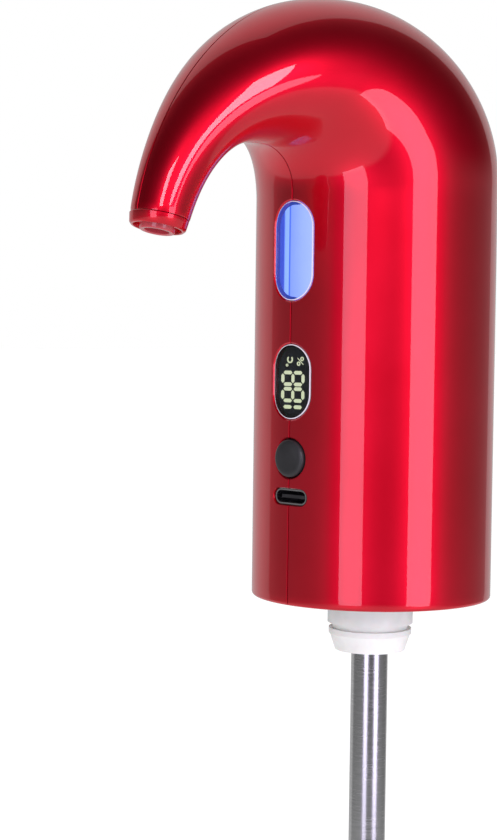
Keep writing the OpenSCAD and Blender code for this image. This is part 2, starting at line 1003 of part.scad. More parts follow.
module chassis() {
    cradle_top = cell_z + cell_l + 2 + end_wall;
    color("lightgray")
        difference() {
            union() {
                rod(chassis_r - 0.4, deck_top, chassis_top);
                for (s = [-1, 1])
                    translate([s > 0 ? rail_x[0] : -rail_x[1], board_y - rail_y, deck_top])
                        cube([rail_x[1] - rail_x[0], board_t + 2 * rail_y,
                              led_board_z[1] + 0.4 - deck_top]);
                translate([cell[0], cell[1], 0])
                    rod(cradle_r + cradle_wall, chassis_top - 0.5, cradle_top);
                translate([motor[0] - motor_r, motor[1] + 4.5, chassis_top - 0.5])
                    cube([motor_d, motor_l - 5.5, 8]);
            }
            // room for the circuit board and the charging socket
            translate([-rail_x[0], -body_r, deck_top - 1])
                cube([2 * rail_x[0], body_r + board_back + rail_y, chassis_t + 2]);
            translate([-board_w / 2 - fit, board_y - fit, board_z - 1])
                cube([board_w + 2 * fit, board_t + 2 * fit, body_h]);
            // the cell lies in its cradle from the side
            translate([cell[0], cell[1], 0]) {
                rod(cradle_r, chassis_top + end_wall, cradle_top - end_wall);
                translate([cell_d / 8, -cradle_r - 2 * cradle_wall, chassis_top + end_wall])
                    cube([body_r, 2 * cradle_r + 4 * cradle_wall,
                          cradle_top - 2 * end_wall - chassis_top]);
            }
            // the motor's saddle, with a groove for the tie
            at_motor()
                rod(motor_r + fit, 0, motor_l + 2);
            at_motor(tie_s - fit)
                rod(motor_r + tie_t + 2 * fit, 0, tie_w + 2 * fit);
            rod(riser_flange[0] + 0.4, deck_top - 1, chassis_top + 1);
            translate([air_port[0], air_port[1], 0])
                rod(air_r + 0.4, deck_top - 1, chassis_top + 1);
            around(chassis_screw_r, chassis_screw_angles)
                rod(screw_r + fit, deck_top - 1, chassis_top + 1);
        }
}

// Battery

module battery_cell() {
    color("royalblue")
        translate([cell[0], cell[1], 0]) {
            rod(cell_d / 2, cell_z, cell_z + cell_l - 0.8);
            rod(2.7, cell_z + cell_l - 0.8, cell_z + cell_l);
        }
}

module battery_tabs() {
    color("silver")
        translate([cell[0], cell[1], 0]) {
            translate([-3, -5, cell_z + cell_l + 0.05])
                cube([6, 9, 0.5]);
            translate([-3, -5, cell_z + cell_l + 0.55])
                cube([6, 1.2, 1.4]);
            translate([-3, -4, cell_z - 0.55])
                cube([6, 9, 0.5]);
            tube(4, 3.4, cell_z - 1.15, cell_z - 0.55);
        }
}

module wires() {
    color("red")
        for (w = wire_routes)
            swept_rod(rings_along(through(w, 3), wire_r, 8));
}

// Temperature sensor

clip_t = 0.75;

module sensor_clip() {
    color("black")
        difference() {
            tube(hose_r + 2 * fit + clip_t, hose_r + fit, sensor_z, sensor_z + sensor_l);
            translate([-2.4, 0, sensor_z - 1])
                cube([4.8, hose_r + 2, sensor_l + 2]);
        }
}

module temp_sensor() {
    color("black")
        translate([0, -hose_r - 2 * fit - clip_t - 1.05, 0]) {
            rod(1, sensor_z, sensor_z + sensor_l - 1);
            translate([0, 0, sensor_z + sensor_l - 1])
                cylinder(r1 = 1, r2 = 0.5, h = 0.6);
        }
}

// Motor

tie_s = 9;
tie_w = 3.5;
tie_t = 0.8;
magnet_s = [4.5, 14.5];
core_s = [6, 12];
core_r = 4.2;
magnet_r = [core_r + 0.4, motor_r - can_t - run_gap];

module motor_can() {
    color("silver")
        at_motor()
            difference() {
                union() {
                    rod(motor_r, 1.5, motor_l);
                    rod(front_boss[0], motor_l, motor_l + front_boss[1]);
                }
                rod(motor_r - can_t, 1, motor_l - can_t);
                rod(bush_r, motor_l - 2, motor_l + front_boss[1] - 0.2);
                rod(shaft_r + slide_gap, motor_l, motor_l + 3);
            }
}

module motor_endcap() {
    color("dimgray")
        at_motor()
            difference() {
                union() {
                    rod(motor_r - fit, 0, 1.5);
                    rod(motor_r - can_t - fit, 1.5, 3.5);
                }
                rod(motor_r - can_t - 1, 1.5, 4);
                rod(bush_r, 0.3, 2);
                for (s = [-1, 1])
                    translate([terminal_x * s - 0.8, -0.4, -1])
                        cube([1.6, 0.8, 3]);
            }
}

module motor_magnets() {
    color("darkslategray")
        at_motor(magnet_s[0])
            for (a = [20, 200])
                rotate([0, 0, a])
                    rotate_extrude(angle = 140)
                        translate([magnet_r[0], 0])
                            square([magnet_r[1] - magnet_r[0], magnet_s[1] - magnet_s[0]]);
}

module motor_bushes() {
    color("peru")
        at_motor() {
            tube(bush_r, shaft_r + run_gap, motor_l - can_t, motor_l + front_boss[1] - 0.2);
            tube(bush_r, shaft_r + run_gap, 0.3, 1.5);
        }
}

module motor_shaft() {
    color("gainsboro")
        at_motor()
            rod(shaft_r, 0.4, hub_y + hub_t - 0.3);
}

module armature_core() {
    color("gray")
        at_motor(core_s[0])
            linear_extrude(core_s[1] - core_s[0])
                difference() {
                    union() {
                        circle(r = 1.7);
                        for (a = [0, 120, 240])
                            rotate(a) {
                                translate([0, -0.6])
                                    square([core_r - 0.4, 1.2]);
                                intersection() {
                                    difference() {
                                        circle(r = core_r);
                                        circle(r = core_r - 0.8);
                                    }
                                    translate([0, -2.9])
                                        square([core_r + 1, 5.8]);
                                }
                            }
                    }
                    circle(r = shaft_r);
                }
}

module armature_coils() {
    color("chocolate")
        at_motor(core_s[0])
            for (a = [0, 120, 240])
                rotate(a)
                    difference() {
                        translate([1.9, -1.15, -0.6])
                            cube([1.3, 2.3, core_s[1] - core_s[0] + 1.2]);
                        translate([1, -0.62, -0.02])
                            cube([3, 1.24, core_s[1] - core_s[0] + 0.04]);
                    }
}

module commutator() {
    color("peru")
        at_motor()
            difference() {
                tube(1.5, shaft_r, 2.4, 5);
                for (a = [60, 180, 300])
                    rotate(a)
                        translate([1.1, -0.1, 2])
                            cube([1, 0.2, 2.6]);
            }
}

module motor_brushes() {
    color("goldenrod")
        at_motor()
            for (s = [-1, 1]) {
                translate([s > 0 ? 1.55 : -2.35, -0.8, 2.8])
                    cube([0.8, 1.6, 1.4]);
                translate([terminal_x * s - 0.6, -0.2, -1.5])
                    cube([1.2, 0.4, 4]);
            }
}

module motor_tie() {
    color("white")
        at_motor(tie_s) {
            tube(motor_r + tie_t, motor_r + fit / 2, 0, tie_w);
            translate([-2, -motor_r - tie_t - 1.8, -0.4])
                cube([4, 2, tie_w + 0.8]);
        }
}

// Pump

module eccentric() {
    color("tan")
        at_motor() {
            difference() {
                rod(hub_r, hub_y, hub_y + hub_t);
                rod(shaft_r, hub_y - 1, hub_y + hub_t - 0.3);
            }
            translate([-crank_throw, 0, 0])
                rod(crank_r, hub_y + hub_t, hub_y + hub_t + crank_l);
        }
}

module rod_bush() {
    color("peru")
        at_motor()
            translate([-crank_throw, 0, 0])
                tube(rod_bush_r, crank_r + run_gap, rod_y, rod_y + rod_t);
}

module connecting_rod() {
    color("white")
        at_motor(rod_y)
            translate([-crank_throw, 0, 0]) {
                difference() {
                    union() {
                        rod(rod_end_r, 0, rod_t);
                        translate([-1.2, -rod_rise, 0])
                            cube([2.4, rod_rise, rod_t]);
                    }
                    rod(rod_bush_r, -1, rod_t + 1);
                }
                translate([0, -rod_rise, rod_t / 2])
                    rotate([90, 0, 0])
                        rod(rod_end_r, -0.2, 1);
            }
}

module pump_holes(r, z0, z1) {
    around(pump_screw[1], pump_screw_angles)
        rod(r, z0, z1);
}

module pump_body() {
    plate_y = motor[1] + motor_l + slide_gap;
    color("dimgray")
        difference() {
            union() {
                translate([pump[0], pump[1], 0])
                    rod(pump_r, pump[2], diaphragm_z);
                translate([pump[0] - 6, plate_y, chassis_top])
                    cube([12, 1.3, diaphragm_z - chassis_top]);
            }
            translate([pump[0], pump[1], 0]) {
                rod(pump_ri, pump[2] - 1, diaphragm_z + 1);
                pump_holes(pump_screw[0] + fit / 2, diaphragm_z - 3.6, diaphragm_z + 1);
            }
            at_motor()
                rod(front_boss[0] + fit, motor_l, motor_l + 3);
        }
}

module diaphragm() {
    color("#303030")
        translate([pump[0], pump[1], 0])
            difference() {
                union() {
                    rod(pump_r, diaphragm_z, valve_z);
                    tube(4.4, 3.6, diaphragm_z - 0.3, diaphragm_z + 0.1);
                }
                pump_holes(pump_screw[0] + fit, diaphragm_z - 1, valve_z + 1);
            }
}

module valve_plate() {
    color("ivory")
        translate([pump[0], pump[1], 0])
            difference() {
                rod(pump_r, valve_z, head_z);
                rod(4.4, valve_z - 1, valve_z + 1);
                for (s = [-1, 1])
                    translate([s * flap_x, 0, 0]) {
                        rod(0.7, valve_z, head_z + 1);
                        rod(1.8, head_z - 0.5, head_z + 1);
                    }
                pump_holes(pump_screw[0] + fit, valve_z - 1, head_z + 1);
            }
}

module valve_flaps() {
    color("#303030")
        translate([pump[0], pump[1], 0])
            for (s = [-1, 1])
                translate([s * flap_x, 0, 0])
                    rod(1.6, head_z - 0.5, head_z - 0.1);
}

module pump_head() {
    top = head_z + head_t;
    color("ivory")
        translate([pump[0], pump[1], 0])
            difference() {
                union() {
                    rod(pump_r, head_z, top);
                    rod(air_barb_r, top, top + pump_barb_l);
                }
                rod(4.4, head_z - 1, head_z + 2);
                rod(0.6, head_z, top + pump_barb_l + 1);
                translate([0, 0, head_z + 1])
                    rotate([90, 0, 0])
                        rod(0.5, 0, pump_r + 1);
                pump_holes(pump_screw[0] + fit, head_z - 1, top + 1);
            }
}

module pump_screws() {
    top = head_z + head_t;
    color("silver")
        translate([pump[0], pump[1], 0]) {
            pump_holes(pump_screw[0], diaphragm_z - 3.2, top);
            pump_holes(pump_screw[0] + 0.4, top, top + 0.8);
        }
}

module air_hose() {
    route = through(air_route, 3);
    color("ivory")
        swept_wall(
            rings_along(route, air_r, air_sides),
            rings_along(route, air_ri, air_sides)
        );
}

left_shell();
right_shell();
spout_ring();
outlet_nozzle();
window_lens();
light_guide();
led_board();
window_leds();
display_lens();
display_module();
display_segments();
power_button();
tact_switch();
switch_plunger();
usb_shell();
usb_tongue();
main_pcb();
pcb_components();
socket_base();
base_screws();
socket_gasket();
stopper();
riser_pipe();
tube_outer();
tube_collar_upper();
tube_middle();
tube_collar_lower();
tube_inner();
tube_foot();
chassis();
chassis_screws();
wine_hose();
temp_sensor();
sensor_clip();
battery_cell();
battery_tabs();
wires();
motor_can();
motor_endcap();
motor_magnets();
motor_shaft();
armature_core();
armature_coils();
commutator();
motor_brushes();
motor_bushes();
motor_tie();
eccentric();
rod_bush();
connecting_rod();
pump_body();
diaphragm();
valve_plate();
valve_flaps();
pump_head();
pump_screws();
air_hose();
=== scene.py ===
"""Looks of the electric wine pourer: its pieces, their materials, and the studio around it."""
import json
import math

import bpy
import numpy as np
from mathutils import Matrix, Vector


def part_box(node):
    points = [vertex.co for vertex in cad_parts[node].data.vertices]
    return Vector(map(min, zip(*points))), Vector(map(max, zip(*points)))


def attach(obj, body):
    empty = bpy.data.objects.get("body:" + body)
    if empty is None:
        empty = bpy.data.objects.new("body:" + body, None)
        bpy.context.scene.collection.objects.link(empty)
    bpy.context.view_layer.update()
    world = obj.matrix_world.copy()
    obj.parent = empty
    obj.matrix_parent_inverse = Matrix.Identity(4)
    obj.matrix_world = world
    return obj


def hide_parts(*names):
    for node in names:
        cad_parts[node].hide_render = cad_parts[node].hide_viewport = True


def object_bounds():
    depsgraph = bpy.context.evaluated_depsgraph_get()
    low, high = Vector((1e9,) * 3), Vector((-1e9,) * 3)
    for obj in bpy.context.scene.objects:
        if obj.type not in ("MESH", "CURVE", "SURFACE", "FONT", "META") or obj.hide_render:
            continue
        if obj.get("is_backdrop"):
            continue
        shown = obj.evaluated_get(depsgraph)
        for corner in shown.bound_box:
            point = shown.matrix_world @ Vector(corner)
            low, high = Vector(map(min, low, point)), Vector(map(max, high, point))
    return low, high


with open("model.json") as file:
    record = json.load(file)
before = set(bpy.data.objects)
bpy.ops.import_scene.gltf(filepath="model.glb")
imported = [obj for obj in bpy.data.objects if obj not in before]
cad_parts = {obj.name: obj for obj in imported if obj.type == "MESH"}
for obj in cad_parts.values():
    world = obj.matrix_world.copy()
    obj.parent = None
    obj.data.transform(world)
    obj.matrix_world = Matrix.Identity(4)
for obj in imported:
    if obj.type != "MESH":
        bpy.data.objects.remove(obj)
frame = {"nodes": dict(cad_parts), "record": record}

cad_low, cad_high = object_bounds()
MM = 0.001
WHITE = (1, 1, 1, 1)
ROUND = 0.5523  # the share of a cubic's handle that makes a quarter of a circle

# Sizes of the housing, in millimetres
BODY_R, WALL, BODY_H = 26.0, 2.2, 86.0
NECK_WALL = 1.2
SEAM, SEAM_BEVEL = 0.10, 0.08
EDGE = 0.35
TIP_U, TIP_Z, TIP_R, TILT = 63.0, 76.55, 5.55, 12.5
COLLAR, COLLAR_STEP = 2.2, 0.28

# Openings of the front: width, length and height of the middle
WINDOW = (11.0, 20.8, 73.8)
DISPLAY = (10.6, 15.8, 46.7)
PORT = (9.6, 3.4, 22.7)
BUTTON_Z, BUTTON_R = 30.75, 3.95
BUTTON_GAP = 0.2
LENS_FACE, LENS_BACK = 25.9, 24.85


# Mesh helpers. All lengths in these functions are millimetres.

def new_object(name, points, faces, unit=MM):
    mesh = bpy.data.meshes.new(name)
    mesh.from_pydata([tuple(c * unit for c in p) for p in points], [], faces)
    obj = bpy.data.objects.new(name, mesh)
    bpy.context.scene.collection.objects.link(obj)
    return obj


def add_mesh(name, points, faces, material, body, replaces, slot, sharp=30):
    """A piece of a body, which takes the place of the CAD nodes named in replaces."""
    obj = new_object(name, points, faces)
    obj.data.validate()
    obj.data.materials.append(material)
    smooth(obj.data, sharp)
    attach(obj, body)
    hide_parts(*replaces)
    return obj


def smooth(mesh, sharp=30):
    """Smooth shading, apart from edges sharper than so many degrees."""
    mesh.polygons.foreach_set("use_smooth", [True] * len(mesh.polygons))
    mesh.set_sharp_from_angle(angle=math.radians(sharp))


def loft(loops, closed_ends=True):
    """Faces between closed loops of the same length, with an n-gon at each end."""
    n = len(loops[0])
    points = [p for loop in loops for p in loop]
    faces = []
    for j in range(len(loops) - 1):
        for i in range(n):
            a, b = j * n + i, j * n + (i + 1) % n
            faces.append((a, b, b + n, a + n))
    if closed_ends:
        faces.append(tuple(range(n))[::-1])
        faces.append(tuple(range((len(loops) - 1) * n, len(loops) * n)))
    return points, faces


def lathe(profile, place, n=96):
    """A closed profile of (radius, height), turned about local Z and put in place by a matrix."""
    points, faces = [], []
    m = len(profile)
    for i in range(n):
        a = 2 * math.pi * i / n
        for r, h in profile:
            p = place @ Vector((r * math.cos(a), r * math.sin(a), h))
            points.append(tuple(p))
    for i in range(n):
        k = (i + 1) % n
        for j in range(m):
            q = (j + 1) % m
            ring = [i * m + j, k * m + j, k * m + q, i * m + q]
            if profile[j][0] == 0 and profile[q][0] == 0:
                continue
            if profile[j][0] == 0:
                ring = [i * m + j, k * m + q, i * m + q]
            elif profile[q][0] == 0:
                ring = [i * m + j, k * m + j, i * m + q]
            faces.append(tuple(ring))
    return points, faces


def at_tip():
    """Local Z points out of the spout, from the middle of its mouth."""
    t = math.radians(TILT)
    z = Vector((0, -math.sin(t), -math.cos(t)))
    x = Vector((1, 0, 0))
    y = z.cross(x)
    m = Matrix((x, y, z)).transposed().to_4x4()
    m.translation = Vector((0, -TIP_U, TIP_Z))
    return m


def to_front(z):
    """Local Z points out of the front, along -Y, at height z."""
    m = Matrix(((1, 0, 0), (0, 0, -1), (0, 1, 0))).to_4x4()
    m.translation = Vector((0, 0, z))
    return m


def stadium(w, l, off, n=24, lying=False):
    """A closed loop of (x, z) points, off millimetres outside the stadium."""
    r, h = w / 2 + off, (l - w) / 2
    loop = []
    for k in range(2):
        for i in range(n + 1):
            a = math.pi * (k + i / n)
            loop.append((r * math.cos(a), r * math.sin(a) + (h if k == 0 else -h)))
    return [(-z, x) for x, z in loop] if lying else loop


def on_cylinder(loop, z, rho):
    """A loop of (x, z) points laid on the front of an upright cylinder."""
    return [(x, -math.sqrt(max(rho * rho - x * x, 0)), z + dz) for x, dz in loop]


# The swan neck, in the plane of symmetry: u towards the spout, z up

def cubic(p0, p1, p2, p3, n=400):
    """Points along a cubic curve."""
    t = np.linspace(0, 1, n)[:, None]
    p0, p1, p2, p3 = (np.array(p, float) for p in (p0, p1, p2, p3))
    return p0 * (1 - t) ** 3 + 3 * p1 * t * (1 - t) ** 2 + 3 * p2 * t * t * (1 - t) + p3 * t ** 3


def contour(start, apex, end, reach, drop, lean):
    """A line from the body over its apex to the mouth, with each point's share of its length."""
    w, h = apex[0] - start[0], apex[1] - start[1]
    lean = math.radians(lean)
    first = cubic(start, (start[0], start[1] + ROUND * h), (apex[0] - ROUND * w, apex[1]), apex)
    last = cubic(apex, (apex[0] + reach, apex[1]),
                 (end[0] - drop * math.sin(lean), end[1] + drop * math.cos(lean)), end)
    line = np.vstack([first, last[1:]])
    step = np.linalg.norm(np.diff(line, axis=0), axis=1)
    s = np.concatenate([[0], np.cumsum(step)])
    return line, s / s[-1]


def on_line(curve, share):
    """The point at a share of a contour's length."""
    line, s = curve
    return np.array([np.interp(share, s, line[:, 0]), np.interp(share, s, line[:, 1])])


tilt = math.radians(TILT)
half_mouth = TIP_R * np.array([math.cos(tilt), math.sin(tilt)])
mouth = np.array([TIP_U, TIP_Z])
outer = contour((-26, 89.4), (14.8, 126.35), tuple(mouth + half_mouth), 32.8, 19.6, 7.1)
inner = contour((26, 86.2), (35.3, 95.1), tuple(mouth - half_mouth), 17.2, 8.3, 24.1)
flow = np.array([math.sin(tilt), -math.cos(tilt)])


def share_at(curve, gap):
    """The share of a contour at which it is gap millimetres before the plane of the mouth."""
    line, s = curve
    d = (line - mouth) @ flow + gap
    i = max(k for k in range(len(d) - 1) if d[k] <= 0)
    return s[i] + (s[i + 1] - s[i]) * (-d[i]) / (d[i + 1] - d[i])


INNER_PACE = 1.315  # how the inner contour's share lags behind the outer one's
SWELL_SPAN = 0.65
SWELL_EARLY, SWELL_LATE = 0.011, 0.035


def section(q, end_o, end_i):
    """Centre, outward direction, half depth and half width of the neck at a share q of its way."""
    o, i = on_line(outer, q * end_o), on_line(inner, q ** INNER_PACE * end_i)
    late = q - (1 - SWELL_SPAN)
    b1 = math.sin(math.pi * q / SWELL_SPAN) ** 2 if q < SWELL_SPAN else 0
    b2 = math.sin(math.pi * late / SWELL_SPAN) ** 2 if late > 0 else 0
    centre, half = (o + i) / 2, (o - i) / 2
    r = float(np.linalg.norm(half))
    return centre, half / r, r, r * (1 + SWELL_EARLY * b1 + SWELL_LATE * b2)


def outline(sec, side, inset, seam_in, angles):
    """Half of a section's outline, from its outer to its inner side, with the seam's bevel."""
    centre, unit, r, w = sec
    r, w = r - inset, w - inset
    start = math.asin(min((SEAM + SEAM_BEVEL) / w, 1))
    points = []

    def at(a, rr, ww, x=None):
        u, z = centre - unit * rr * math.cos(a)
        return ((ww * math.sin(a) if x is None else x) * side, -u, z)

    points.append(at(0, r - seam_in, w, SEAM))
    for k in range(angles + 1):
        points.append(at(start + (math.pi - 2 * start) * k / angles, r, w))
    points.append(at(math.pi, r - seam_in, w, SEAM))
    return points


def body_section(z):
    return np.array([0.0, z]), np.array([-1.0, 0.0]), BODY_R, BODY_R


def shell_points(side, angles=110, along=170):
    """Points and faces of one half shell, from the rounded lower edge up to the collar's gap."""
    lower_edge = ((0, EDGE), (0.1, 0.62 * EDGE), (0.28, 0.2 * EDGE), (0.6, 0))
    rows = [(body_section(z), inset, WALL - inset) for z, inset in lower_edge]
    rows += [(body_section(z), 0, WALL) for z in np.linspace(2.5, BODY_H - 0.5, 60)]
    gap = COLLAR + SEAM
    ends = share_at(outer, gap), share_at(inner, gap)
    for q in np.linspace(0, 1, along):
        rows.append((section(q, *ends), 0, WALL - (WALL - NECK_WALL) * q))
    last, _, wall = rows[-1]
    bevel = 0.12
    rows[-1] = (last, bevel, wall - bevel)
    outs = [outline(sec, side, inset, SEAM_BEVEL, angles) for sec, inset, wall in rows]
    ins = [outline(sec, side, inset + wall, 0.0, angles) for sec, inset, wall in rows]
    loops = [o + i[::-1] for o, i in zip(outs, ins)]
    n, m = len(loops[0]), len(outs[0])
    points, faces = loft(loops, closed_ends=False)
    for base, flip in ((0, True), ((len(loops) - 1) * n, False)):
        for i in range(m - 1):
            face = (base + i, base + i + 1, base + n - 2 - i, base + n - 1 - i)
            faces.append(face[::-1] if flip else face)
    if side < 0:
        faces = [f[::-1] for f in faces]
    return points, faces


def opening(loop_at, z):
    """A cutter through the front wall that leaves a small chamfer at the surface."""
    cut, proud, inside = 0.28, 0.6, 17.0
    rows = [(inside, 0), (BODY_R - cut, 0), (BODY_R + proud, cut + proud)]
    return loft([on_cylinder(loop_at(off), z, rho) for rho, off in rows])


def carve(obj, cutters):
    """Cuts the cutters' shapes out of a piece."""
    for k, (points, faces) in enumerate(cutters):
        tool = new_object("cutter", points, faces)
        mod = obj.modifiers.new(f"opening_{k}", "BOOLEAN")
        mod.operation, mod.solver, mod.object = "DIFFERENCE", "EXACT", tool
        graph = bpy.context.evaluated_depsgraph_get()
        made = bpy.data.meshes.new_from_object(obj.evaluated_get(graph))
        obj.modifiers.clear()
        obj.data = made
        bpy.data.objects.remove(tool)
    smooth(obj.data)


# Materials

class Paint:
    """A node material with a Principled shader and short ways to add texture."""

    def __init__(self, name, **values):
        self.material = bpy.data.materials.new(name)
        self.material.use_nodes = True
        self.nodes = self.material.node_tree.nodes
        self.links = self.material.node_tree.links
        self.shader = self.nodes["Principled BSDF"]
        for key, value in values.items():
            self.shader.inputs[key.replace("_", " ")].default_value = value

    def node(self, kind):
        return self.nodes.new(kind)

    def link(self, out, into):
        self.links.new(out, into)

    def place(self, stretch):
        coords = self.node("ShaderNodeTexCoord")
        mapping = self.node("ShaderNodeMapping")
        mapping.inputs["Scale"].default_value = stretch
        self.link(coords.outputs["Object"], mapping.inputs["Vector"])
        return mapping.outputs["Vector"]

    def noise(self, scale, detail, stretch=(1, 1, 1)):
        tex = self.node("ShaderNodeTexNoise")
        tex.inputs["Scale"].default_value = scale
        tex.inputs["Detail"].default_value = detail
        self.link(self.place(stretch), tex.inputs["Vector"])
        return tex.outputs["Fac"]

    def ramp(self, source, stops, into):
        ramp = self.node("ShaderNodeValToRGB")
        ramp.color_ramp.elements[0].position = stops[0][0]
        ramp.color_ramp.elements[0].color = (*stops[0][1], 1)
        ramp.color_ramp.elements[1].position = stops[-1][0]
        ramp.color_ramp.elements[1].color = (*stops[-1][1], 1)
        for at, colour in stops[1:-1]:
            ramp.color_ramp.elements.new(at).color = (*colour, 1)
        self.link(source, ramp.inputs["Fac"])
        self.link(ramp.outputs["Color"], self.shader.inputs[into])

    def spread(self, source, low, high, into):
        span = self.node("ShaderNodeMapRange")
        span.inputs["To Min"].default_value = low
        span.inputs["To Max"].default_value = high
        self.link(source, span.inputs["Value"])
        self.link(span.outputs["Result"], self.shader.inputs[into])

    def bump(self, source, distance):
        bump = self.node("ShaderNodeBump")
        bump.inputs["Distance"].default_value = distance
        bump.inputs["Strength"].default_value = 1.0
        self.link(source, bump.inputs["Height"])
        self.link(bump.outputs["Normal"], self.shader.inputs["Normal"])


def plastic(name, low, high, rough, **values):
    """Between two colours in soft patches, with a fine grain."""
    p = Paint(name, **values)
    p.ramp(p.noise(180, 3), [(0.3, low), (0.7, high)], "Base Color")
    p.spread(p.noise(900, 2), rough - 0.05, rough + 0.05, "Roughness")
    p.bump(p.noise(2250, 2), 0.00001)
    return p.material


def metal(name, low, high, rough, stretch=(1, 1, 30), scale=220):
    """Brushed along Z unless the stretch is even."""
    p = Paint(name, Metallic=1.0)
    grain = p.noise(scale, 3, stretch)
    p.ramp(grain, [(0.3, low), (0.7, high)], "Base Color")
    p.spread(grain, rough - 0.06, rough + 0.08, "Roughness")
    p.bump(grain, 0.000004)
    return p.material


def lacquer():
    """A red metallic base under a clear coat."""
    p = Paint("red_lacquer", Metallic=0.96, Coat_Weight=1.0, Coat_Roughness=0.025, Coat_IOR=1.5)
    low, high = (0.80, 0.004, 0.024), (0.88, 0.006, 0.032)
    p.ramp(p.noise(60, 3), [(0.3, low), (0.7, high)], "Base Color")
    p.spread(p.noise(5200, 1), 0.37, 0.44, "Roughness")
    p.bump(p.noise(3800, 1), 0.0000022)
    return p.material


def glow(name, axis, stops, strength, low, high):
    """A lit sheet whose colour runs along one axis of the part, between two places in metres."""
    p = Paint(name, Roughness=0.5, Emission_Strength=strength)
    coords = p.node("ShaderNodeTexCoord")
    split = p.node("ShaderNodeSeparateXYZ")
    p.link(coords.outputs["Object"], split.inputs["Vector"])
    span = p.node("ShaderNodeMapRange")
    span.inputs["From Min"].default_value = low
    span.inputs["From Max"].default_value = high
    p.link(split.outputs[axis], span.inputs["Value"])
    p.ramp(span.outputs["Result"], stops, "Emission Color")
    p.shader.inputs["Base Color"].default_value = (0.02, 0.03, 0.08, 1)
    return p.material


def clear(name, low, high, rough):
    """A clear plastic."""
    p = Paint(name, Transmission_Weight=1.0, IOR=1.45)
    p.ramp(p.noise(120, 2), [(0.3, low), (0.7, high)], "Base Color")
    p.spread(p.noise(700, 1), rough, rough + 0.02, "Roughness")
    return p.material


RED = lacquer()
CLEAR_PAINTED_GLOW = clear("window_clear", (0.84, 0.89, 1.0), (0.90, 0.94, 1.0), 0.02)
# The clear pane also glows faint blue: a painted glow of the guide's light inside the pane, which
# is no lamp
window_shader = CLEAR_PAINTED_GLOW.node_tree.nodes["Principled BSDF"]
window_shader.inputs["Emission Color"].default_value = (0.03, 0.06, 0.42, 1)
window_shader.inputs["Emission Strength"].default_value = 0.45
SMOKE = clear("smoked_clear", (0.60, 0.62, 0.66), (0.66, 0.68, 0.72), 0.01)
# Pale pinkish plastic for the lenses' rounded rims: a painted highlight along each edge
RIM_PAINTED_HIGHLIGHT = plastic("lens_edge_painted_highlight", (0.62, 0.58, 0.66), (0.74, 0.70, 0.78), 0.2, Coat_Weight=0.6)
BLACK = plastic("black_matte", (0.012, 0.012, 0.014), (0.022, 0.022, 0.025), 0.42)
SLATE = plastic("slate_panel", (0.030, 0.040, 0.052), (0.042, 0.054, 0.068), 0.35)
MILKY = plastic("silicone", (0.62, 0.62, 0.60), (0.72, 0.72, 0.70), 0.45, Subsurface_Weight=0.15,
                Subsurface_Scale=0.002)
RUBBER = plastic("black_rubber", (0.010, 0.010, 0.010), (0.020, 0.020, 0.020), 0.6)
STAINLESS = metal("stainless", (0.56, 0.56, 0.57), (0.70, 0.70, 0.71), 0.24)
STEEL = metal("plated_steel", (0.44, 0.44, 0.46), (0.58, 0.58, 0.60), 0.32, (1, 1, 1), 900)
BRASS = metal("brass", (0.62, 0.40, 0.15), (0.76, 0.52, 0.22), 0.3, (1, 1, 1), 900)
BOARD = plastic("board_green", (0.008, 0.10, 0.035), (0.014, 0.15, 0.055), 0.3, Coat_Weight=0.5)
CHIP = plastic("chip_black", (0.012, 0.012, 0.014), (0.024, 0.024, 0.027), 0.5)
GREY = plastic("grey_plastic", (0.36, 0.37, 0.38), (0.44, 0.45, 0.46), 0.4)
WRAP = plastic("cell_wrap", (0.02, 0.09, 0.33), (0.03, 0.13, 0.42), 0.25, Coat_Weight=0.4)
COVER = plastic("wire_cover", (0.36, 0.012, 0.012), (0.46, 0.02, 0.02), 0.4)
NOZZLE = plastic("nozzle_tint", (0.36, 0.030, 0.045), (0.46, 0.045, 0.06), 0.28, Coat_Weight=0.5)
# Across the window: a painted dark edge, a painted bright strip and a painted dark line, which
# stand for the lens's side wall seen through the pane, then the pale guide's own blue glow
BLUE_GLOW_AND_PAINTED_STRIPES = glow("window_glow_painted_stripes", "X", [
    (0.0, (0.01, 0.02, 0.20)), (0.16, (0.012, 0.03, 0.30)), (0.20, (0.30, 0.48, 0.95)),
    (0.32, (0.34, 0.52, 0.97)), (0.335, (0.03, 0.09, 0.50)), (0.36, (0.05, 0.14, 0.60)),
    (0.38, (0.26, 0.36, 0.82)), (0.7, (0.376, 0.485, 0.84)), (1.0, (0.45, 0.56, 0.90)),
], 1.0, -0.0048, 0.0048)
DIGITS = glow("lit_digits", "Z", [
    (0.0, (0.66, 0.72, 0.42)), (0.5, (0.74, 0.78, 0.50)), (1.0, (0.68, 0.72, 0.44)),
], 1.5, 0.040, 0.054)

SLOTS = {
    "red_gloss": RED, "window_clear": CLEAR_PAINTED_GLOW, "smoked_clear": SMOKE, "lit_digits": DIGITS,
    "nozzle_red": NOZZLE, "lit_blue": BLUE_GLOW_AND_PAINTED_STRIPES, "black_matte": BLACK, "silicone": MILKY,
    "black_rubber": RUBBER, "stainless": STAINLESS, "steel": STEEL, "brass": BRASS,
    "board_green": BOARD, "chip_black": CHIP, "grey_plastic": GREY, "cell_wrap": WRAP,
    "wire_cover": COVER,
}
for part in frame["record"]["subparts"]:
    node = frame["nodes"][part["node"]]
    node.data.materials.clear()
    node.data.materials.append(SLOTS[part["material_slot"]])
    smooth(node.data)
frame["nodes"]["display_module"].data.materials[0] = SLATE

# Housing shells, with the openings of the front cut through them

